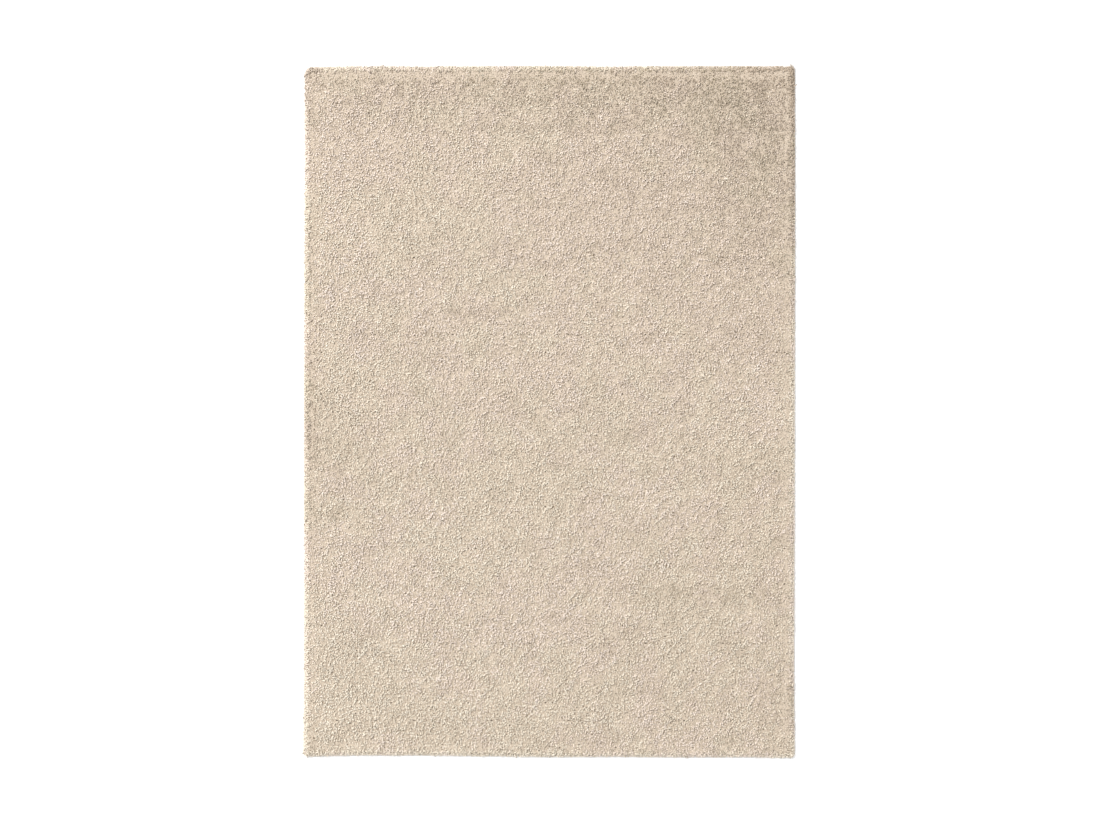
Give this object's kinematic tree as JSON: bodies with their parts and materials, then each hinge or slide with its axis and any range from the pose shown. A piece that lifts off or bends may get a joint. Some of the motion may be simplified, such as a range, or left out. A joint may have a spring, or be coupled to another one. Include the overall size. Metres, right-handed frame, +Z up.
{
  "type": "shag rug",
  "caption": "Flat rectangular shag rug: a thin backing under a deep, soft pile with rounded rims and slightly wandering edges.",
  "frame": {"origin": "on the floor, under the middle of the rug's bounding box", "axes": "+Z up from the floor through the pile, +Y along the rug's length, +X across its width"},
  "size_m": [1.7252, 2.4252, 0.03],
  "materials": {
    "beige_pile": "matt beige pile of soft twisted yarn"
  },
  "bodies": {
    "root": {"rug": "beige_pile"}
  },
  "joints": []
}
